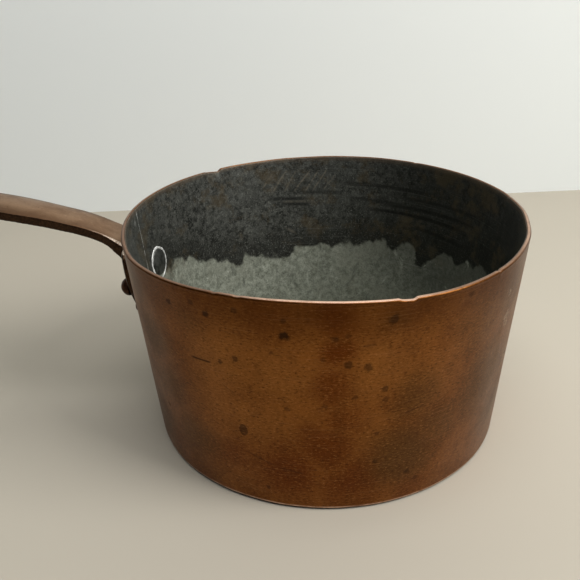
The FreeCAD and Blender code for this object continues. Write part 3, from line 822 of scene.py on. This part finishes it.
def patina(paint, clouds, blotches, grain, z):
    """The brown skin of the outside: broad stains first, then blotches, grain and specks."""
    specks = paint.noise(2300.0, 2.0, 0.6)
    tone = clouds.span(0.30, 0.70).mix((0.150, 0.050, 0.0095), (0.245, 0.091, 0.0195))
    for stains, shake, scale, soft, strength, colour in BROAD_STAINS:
        stain = marks_on_wall(paint, wobbly(paint, shake, scale), stains, soft)
        tone = (stain * strength).mix(tone, colour)
    tone = blotches.span(0.48, 0.74, 0.0, 0.45).mix(tone, (0.075, 0.026, 0.006))
    tone = grain.span(0.48, 0.34, 0.0, 0.72).mix(tone, (0.040, 0.014, 0.0035))
    tone = grain.span(0.54, 0.68, 0.0, 0.50).mix(tone, (0.42, 0.19, 0.060))
    tone = specks.span(0.60, 0.80, 0.0, 0.5).mix(tone, (0.03, 0.012, 0.004))
    under_rim = z.span(HEIGHT - 30 * MM, HEIGHT - 4 * MM, 0.0, 0.55)
    return under_rim.mix(tone, (0.060, 0.020, 0.0045))


def tarnish(paint, flat):
    """Dark spots, one dark ring and a few dark streaks on the outside."""
    marks = marks_on_wall(paint, wobbly(paint, 2.6 * MM, 420.0), TARNISH)
    squashed = paint.stretch(wobbly(paint, 1.5 * MM, 300.0), RING_SQUASH)
    off_ring = abs(paint.distance(squashed, RING_MARK) - RING_RADIUS)
    marks = marks.or_more(off_ring.span(0.8 * MM, 0.2 * MM, 0.0, 0.6))
    return marks.or_more(scrape_lines(paint, flat, DARK_STREAKS, 0.55 * MM))


def bare_edges_and_foot_highlight(paint, blotches, z):
    """Where the copper is worn bright on top of the rim, most at three places, and a line at the foot's bend
    that is partly worn copper and partly a painted highlight.
    """
    rim_edge = paint.facing_up().span(0.70, 0.97) * z.span(HEIGHT - 8 * MM, HEIGHT - 6 * MM)
    bright = marks_on_wall(paint, paint.coords, BRIGHT_RIM, 0.6).or_more(0.25)
    rim_edge = rim_edge * (bright * blotches.span(0.30, 0.55, 0.6, 1.0))
    # Painted highlight, partly wear: a bright line at z = 2 mm, where the foot's bend catches the light.
    foot_highlight = abs(z - 2.0 * MM).span(0.7 * MM, 0.15 * MM)
    return rim_edge.or_more(foot_highlight * blotches.span(0.35, 0.6, 0.2, 0.8))


def pan_copper():
    """Brown patina over copper: grained, stained and spotted, worn bright at the rim, with a painted
    highlight along the foot's bend and painted shade below it.
    """
    paint = Paint("aged_copper")
    flat = paint.unrolled()
    z = paint.parts(paint.coords)[2]
    clouds = paint.noise(30.0, 7.0, 0.72, 0.2)
    blotches = paint.noise(150.0, 6.0, 0.75, coords=paint.stretch(paint.coords, move=(0.3, 0.1, 0.7)))
    grain = paint.noise(1.0, 3.0, 0.8, coords=paint.stretch(flat, (480.0, 1150.0, 1)))
    marks = tarnish(paint, flat)
    tone = marks.mix(patina(paint, clouds, blotches, grain, z), (0.022, 0.010, 0.004))
    scours = fine_lines(paint, flat, 2600.0, 26.0, 3.0, 0.60, 0.72)
    tone = (scours * 0.13).mix(tone, (0.56, 0.30, 0.15))
    rubs = marks_on_wall(paint, wobbly(paint, 5 * MM, 300.0), RUBS, 0.6) * grain.span(0.4, 0.6)
    tone = rubs.mix(tone, (0.42, 0.33, 0.25))
    # Painted shade: near black below 1.5 mm, standing for the turned-under bend and the contact shadow
    # beneath the foot.
    tone = z.span(1.5 * MM, 1.0 * MM, 0.0, 0.95).mix(tone, (0.004, 0.002, 0.001))
    # Real rim wear together with the painted highlight at the foot.
    wear_and_highlight = bare_edges_and_foot_highlight(paint, blotches, z)
    tone = wear_and_highlight.mix(tone, (0.78, 0.52, 0.38))
    rough = clouds.span(0.3, 0.7, 0.46, 0.36) + marks * 0.2 - wear_and_highlight * 0.08
    ripples = clouds.bump(0.15, 1.0 * MM)
    return paint.finish(tone, 1.0, rough, (grain * 1.2 - marks).bump(0.22, 0.08 * MM, ripples))


def clean_edge_height(paint, flat):
    """Height of the ragged line where the smoked tin ends and the clean tin begins."""
    lobes = paint.noise(1.0, 2.0, 0.5, coords=paint.stretch(flat, (72.0, 50.0, 1)))
    ragged = paint.noise(1.0, 4.0, 0.7, coords=paint.stretch(flat, (330.0, 260.0, 1)))
    edge = paint.curve(paint.bearing(), CLEAN_EDGE) * HEIGHT
    return edge + (lobes - 0.5) * (26 * MM) + (ragged - 0.5) * (4 * MM)


def smoked_tin_and_shade(paint, clouds, mottle, grain, above, clean):
    """Dark tin over clean tin, darkest just above their border, with painted shade on the right-hand inside
    wall where the rim shadows it.
    """
    rough_share = mottle.span(0.36, 0.64)
    dark = rough_share.mix((0.020, 0.021, 0.018), (0.130, 0.132, 0.115))
    dark = clouds.span(0.40, 0.62, 0.0, 0.5).mix(dark, (0.100, 0.103, 0.090))
    dark = above.span(30 * MM, 2 * MM, 0.0, 0.72).mix(dark, (0.018, 0.018, 0.014))
    light = rough_share.mix((0.150, 0.160, 0.122), (0.330, 0.345, 0.280))
    light = clouds.span(0.45, 0.64, 0.0, 0.5).mix(light, (0.25, 0.255, 0.20))
    tone = clean.mix(dark, light)
    tone = grain.span(0.54, 0.72, 0.0, 0.40).mix(tone, (0.46, 0.47, 0.42))
    tone = grain.span(0.46, 0.30, 0.0, 0.60).mix(tone, (0.020, 0.021, 0.017))
    # Painted shade: darkens the right-hand inside wall, which the rim keeps from the window light.
    shade_right_wall = paint.distance(paint.coords, on_wall(30, 85)).span(110 * MM, 45 * MM, 0.0, 0.62)
    return shade_right_wall.mix(tone, (0.012, 0.013, 0.010))


def scoured(paint, tone, flat, mottle, clean, z):
    """Brown stains high up, streaks and scrapes all over, and scouring swirls in the clean tin."""
    brown = paint.noise(46.0, 6.0, 0.7, coords=paint.stretch(paint.coords, move=(0.9, 0.2, 0.4)))
    brown = brown.span(0.50, 0.64) * z.span(52 * MM, 80 * MM, 0.25, 1.0)
    tone = (brown * 0.50).mix(tone, (0.125, 0.092, 0.048))
    broken = mottle.span(0.36, 0.60, 0.25, 1.0)
    film = scrape_lines(paint, flat, FILM_STREAKS, 1.3 * MM) * broken
    tone = film.mix(tone, (0.010, 0.010, 0.008))
    drawn = scrape_lines(paint, flat, SCRAPES, 0.9 * MM) * broken
    tone = (drawn * 0.75).mix(tone, (0.235, 0.205, 0.155))
    swept = paint.stretch(paint.coords, (70.0, 130.0, 60.0), turn=(0, 0, 0.5))
    swirls = paint.noise(1.0, 6.0, 0.75, 1.2, coords=swept)
    tone = (swirls.span(0.52, 0.66, 0.0, 0.65) * clean).mix(tone, (0.080, 0.086, 0.068))
    return (swirls.span(0.42, 0.32, 0.0, 0.5) * clean).mix(tone, (0.50, 0.52, 0.44))


def seam_line(paint, clouds, mottle):
    """The pale, broken line of the wall's seam, showing through the tin behind the handle."""
    x, y = paint.parts(paint.coords)[:2]
    line = abs(y + (clouds - 0.5) * (3 * MM)).span(0.6 * MM, 0.15 * MM)
    return line * x.span(-95 * MM, -99 * MM) * mottle.span(0.42, 0.58, 0.1, 0.8)


def tin_surface():
    """Wiped tin gone dark: pale and clean low down, smoked above, scraped and streaked, with painted shade
    on the right-hand inside wall.
    """
    paint = Paint("worn_tin")
    flat = paint.unrolled()
    z = paint.parts(paint.coords)[2]
    clouds = paint.noise(42.0, 7.0, 0.72, 0.2)
    mottle = paint.noise(300.0, 6.0, 0.8)
    grain = paint.noise(950.0, 3.0, 0.8)
    above = z - clean_edge_height(paint, flat)
    clean = above.span(2.0 * MM, -1.6 * MM)
    tone = smoked_tin_and_shade(paint, clouds, mottle, grain, above, clean)
    tone = scoured(paint, tone, flat, mottle, clean, z)
    round_lines = fine_lines(paint, flat, 1500.0, 14.0, 7.0, 0.62, 0.74) * 0.10
    pale = marks_on_wall(paint, wobbly(paint, 2.4 * MM, 500.0), PALE_MARKS, 0.6)
    bright = round_lines.or_more(pale.or_more(seam_line(paint, clouds, mottle)))
    tone = bright.mix(tone, (0.56, 0.57, 0.54))
    rim_edge = (z + grain * (0.8 * MM)).span(HEIGHT - 3.4 * MM, HEIGHT - 0.6 * MM)
    tone = (rim_edge * 0.45).mix(tone, (0.19, 0.135, 0.09))
    normal = clouds.bump(0.3, 2.0 * MM)
    normal = (clean * 0.8 + (mottle + grain)).bump(0.35, 0.14 * MM, normal)
    return paint.finish(tone, clean.span(0.0, 1.0, 0.75, 0.40), mottle.span(0.3, 0.7, 0.46, 0.62), normal)


def bright_tin():
    """The rubbed ring of tin round a rivet."""
    paint = Paint("bright_tin")
    mottle = paint.noise(500.0, 4.0, 0.6)
    tone = mottle.span(0.35, 0.65).mix((0.42, 0.42, 0.40), (0.85, 0.85, 0.82))
    return paint.finish(tone, 0.35, mottle.span(0.3, 0.7, 0.5, 0.35), mottle.bump(0.3, 0.15 * MM))


def handle_copper():
    """Handled copper: a rubbed pinkish brown, dull at the sides and below, pitted and scratched, with
    painted shade towards the edges of the crowned top and a painted highlight on the arris near the root.
    """
    paint = Paint("handled_copper")
    clouds = paint.noise(60.0, 5.0, 0.6, 0.3)
    grain = paint.noise(900.0, 4.0, 0.65)
    pits = paint.noise(420.0, 2.0, 0.5).span(0.70, 0.78)
    drawn = paint.noise(1.0, 2.0, coords=paint.stretch(paint.coords, (25, 900, 900))).span(0.58, 0.72)
    tone = clouds.span(0.3, 0.7).mix((0.185, 0.101, 0.052), (0.30, 0.182, 0.104))
    tone = grain.span(0.5, 0.8, 0.0, 0.5).mix(tone, (0.12, 0.062, 0.032))
    tone = pits.mix(tone, (0.08, 0.035, 0.018))
    tone = (drawn * 0.3).mix(tone, (0.46, 0.30, 0.20))
    lengthwise, across = paint.parts(paint.coords)[:2]
    near_root = lengthwise.span(-135 * MM, -116 * MM)
    # Painted shade: the top darkens towards its edges, where the crown turns it from the light, less so near
    # the root where the top is flat.
    crown_shade = abs(across).span(4.0 * MM, 13.0 * MM) * near_root.span(0.0, 1.0, 0.85, 0.35)
    tone = crown_shade.mix(tone, (0.085, 0.042, 0.019))
    facing_up = paint.facing_up()
    # Painted highlight: a bright line along the upward-facing arris near the root, where the edge catches
    # the light.
    arris_highlight = abs(across).span(9.4 * MM, 10.6 * MM) * near_root * grain.span(0.40, 0.60, 0.2, 1.0)
    tone = (arris_highlight * facing_up.span(0.60, 0.80)).mix(tone, (0.95, 0.80, 0.66))
    dull_tone = grain.span(0.35, 0.7).mix((0.022, 0.010, 0.004), (0.060, 0.028, 0.012))
    tone = (facing_up + clouds * 0.2).span(0.84, 0.50).mix(tone, dull_tone)
    normal = clouds.bump(0.4, 0.8 * MM)
    normal = (grain * 0.5 - pits).bump(0.25, 0.1 * MM, normal)
    return paint.finish(tone, 0.85, clouds.span(0.3, 0.7, 0.50, 0.40), normal)


def rivet_copper():
    """Dark hammered copper outside, smoked tin on the inner head."""
    paint = Paint("rivet_copper")
    clouds = paint.noise(220.0, 4.0, 0.6)
    grain = paint.noise(1100.0, 3.0, 0.6)
    z = paint.parts(paint.coords)[2]
    middle_of_sheet = z * math.tan(DRAFT) + (FOOT - 0.5 * SHEET)
    inside = paint.maths("LESS_THAN", paint.from_axis(), middle_of_sheet)
    copper = clouds.span(0.3, 0.7).mix((0.035, 0.014, 0.007), (0.10, 0.042, 0.020))
    tin = clouds.span(0.3, 0.7).mix((0.035, 0.037, 0.033), (0.15, 0.152, 0.14))
    tone = inside.mix(copper, tin)
    return paint.finish(tone, 0.9, grain.span(0.3, 0.7, 0.55, 0.4), clouds.bump(0.5, 0.4 * MM))


def spelter():
    """Dull yellow brazing metal."""
    paint = Paint("spelter")
    clouds = paint.noise(300.0, 4.0, 0.6)
    tone = clouds.span(0.3, 0.7).mix((0.15, 0.075, 0.024), (0.28, 0.16, 0.058))
    return paint.finish(tone, 1.0, clouds.span(0.3, 0.7, 0.55, 0.4), clouds.bump(0.4, 0.3 * MM))


def base_copper():
    """The underside: stained brown in the middle, brighter and scratched where it stands."""
    paint = Paint("base_copper")
    clouds = paint.noise(35.0, 6.0, 0.6, 0.5)
    grain = paint.noise(800.0, 3.0, 0.6)
    tone = clouds.span(0.35, 0.65).mix((0.10, 0.05, 0.03), (0.30, 0.13, 0.055))
    tone = paint.from_axis().span(60 * MM, 92 * MM, 0.0, 0.6).mix(tone, (0.40, 0.19, 0.09))
    swept = paint.stretch(paint.coords, (30, 1500, 1), turn=(0, 0, 0.6))
    scratches = paint.noise(1.0, 2.0, coords=swept).span(0.60, 0.72)
    tone = (scratches * 0.4).mix(tone, (0.66, 0.38, 0.22))
    normal = clouds.bump(0.3, 1 * MM)
    normal = (scratches + grain).bump(0.2, 0.08 * MM, normal)
    return paint.finish(tone, 1.0, clouds.span(0.3, 0.7, 0.55, 0.38), normal)


def dress(piece, material):
    """Give a piece one material."""
    piece.data.materials.clear()
    piece.data.materials.append(material)


# ---------- stage, light and camera

CAMERA_REACH = 393.7 * MM
CAMERA_BEARING = -84.41
CAMERA_RISE = 270.6 * MM
CAMERA_HEADING = 98.5
CAMERA_PITCH = 26.42
CAMERA_ROLL = -1.74
CAMERA_LENS = 47.14
BACKDROP_REACH = 355 * MM
BACKDROP_HEADING = 101.0
BACKDROP_HEIGHT = 1.4
STAGE_HALF = 1.6
DAYLIGHT, SOFT_WHITE = (1.0, 0.99, 0.975), (0.99, 0.99, 1.0)
ROOM_COLOUR, ROOM_STRENGTH = (0.90, 0.95, 1.0, 1.0), 0.06
FLOOR_COLOUR = (0.44, 0.40, 0.325)
BACKDROP_COLOUR = (0.80, 0.83, 0.81)


def plain_material(name, colour, rough, one_sided=False):
    """A plain stage material; a one-sided one shows nothing from behind."""
    paint = Paint(name)
    if one_sided:
        behind = paint.add("NewGeometry", "Backfacing")
        paint.put(1.0 - behind, paint.surface.inputs["Alpha"])
    return paint.finish(colour, 0.0, rough)


def make_stage():
    """A plain pale floor with a pale wall across it; the wall hides nothing from behind."""
    heading = math.radians(BACKDROP_HEADING)
    forward = Vector((math.cos(heading), math.sin(heading), 0))
    side = Vector((forward.y, -forward.x, 0)) * STAGE_HALF
    far = forward * 2 * STAGE_HALF
    floor = mesh_object("stage_floor", [-side - far, side - far, side + far, far - side], [(0, 1, 2, 3)])
    foot = forward * BACKDROP_REACH
    top = foot + Vector((0, 0, BACKDROP_HEIGHT))
    wall = mesh_object("stage_wall", [foot - side, foot + side, top + side, top - side], [(0, 1, 2, 3)])
    dress(floor, plain_material("stage_floor", FLOOR_COLOUR, 0.75))
    dress(wall, plain_material("stage_wall", BACKDROP_COLOUR, 0.9, one_sided=True))


def area_light(name, place, target, size, power, colour):
    """A soft square light aimed at a point."""
    light = bpy.data.lights.new(name, "AREA")
    light.size = size
    light.energy = power
    light.color = colour
    lamp = placed(name, light)
    lamp.location = place
    aim = Vector(target) - Vector(place)
    lamp.rotation_euler = aim.to_track_quat("-Z", "Y").to_euler()


def make_light():
    """A soft bright window on the right, weak light from above, and a dim room in front."""
    world = bpy.data.worlds.new("room")
    world.use_nodes = True
    background = world.node_tree.nodes["Background"]
    background.inputs["Color"].default_value = ROOM_COLOUR
    background.inputs["Strength"].default_value = ROOM_STRENGTH
    bpy.context.scene.world = world
    area_light("window", (1.15, -0.35, 1.10), (0.0, 0.05, 0.03), size=0.8, power=22.0, colour=DAYLIGHT)
    area_light("ceiling", (0.15, -0.40, 1.30), (0.0, 0.10, 0.0), size=1.0, power=11.0, colour=SOFT_WHITE)
    bpy.context.scene.view_settings.view_transform = "Standard"


def make_camera():
    """The camera, low in front of the pan and turned a little clockwise."""
    data = bpy.data.cameras.new("camera")
    data.sensor_width = 36.0
    data.lens = CAMERA_LENS
    data.clip_start = 0.01
    camera = placed("camera", data)
    turn = math.radians(CAMERA_BEARING)
    camera.location = (CAMERA_REACH * math.cos(turn), CAMERA_REACH * math.sin(turn), CAMERA_RISE)
    look = Matrix.Rotation(math.radians(CAMERA_HEADING - 90.0), 4, "Z")
    look = look @ Matrix.Rotation(math.radians(90.0 - CAMERA_PITCH), 4, "X")
    look = look @ Matrix.Rotation(math.radians(CAMERA_ROLL), 4, "Z")
    camera.rotation_euler = look.to_euler()
    bpy.context.scene.camera = camera


# ---------- make everything

make_camera()
make_light()
make_stage()

copper, tin, ring_tin = pan_copper(), tin_surface(), bright_tin()
dress(make_wall(), copper)
dress(make_lining(), tin)
braze = spelter()
dress(make_side_seam(), braze)
rivet_skin = rivet_copper()
for number, (rivet_name, (bearing, height)) in enumerate(RIVETS.items()):
    dress(make_rivet(rivet_name, bearing, height, 11 + number), rivet_skin)
    dress(make_tin_ring(rivet_name, bearing, height, 21 + number), ring_tin)
dress(make_handle(), handle_copper())
dress(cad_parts["pan_base"], base_copper())
dress(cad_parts["base_seam_braze"], braze)
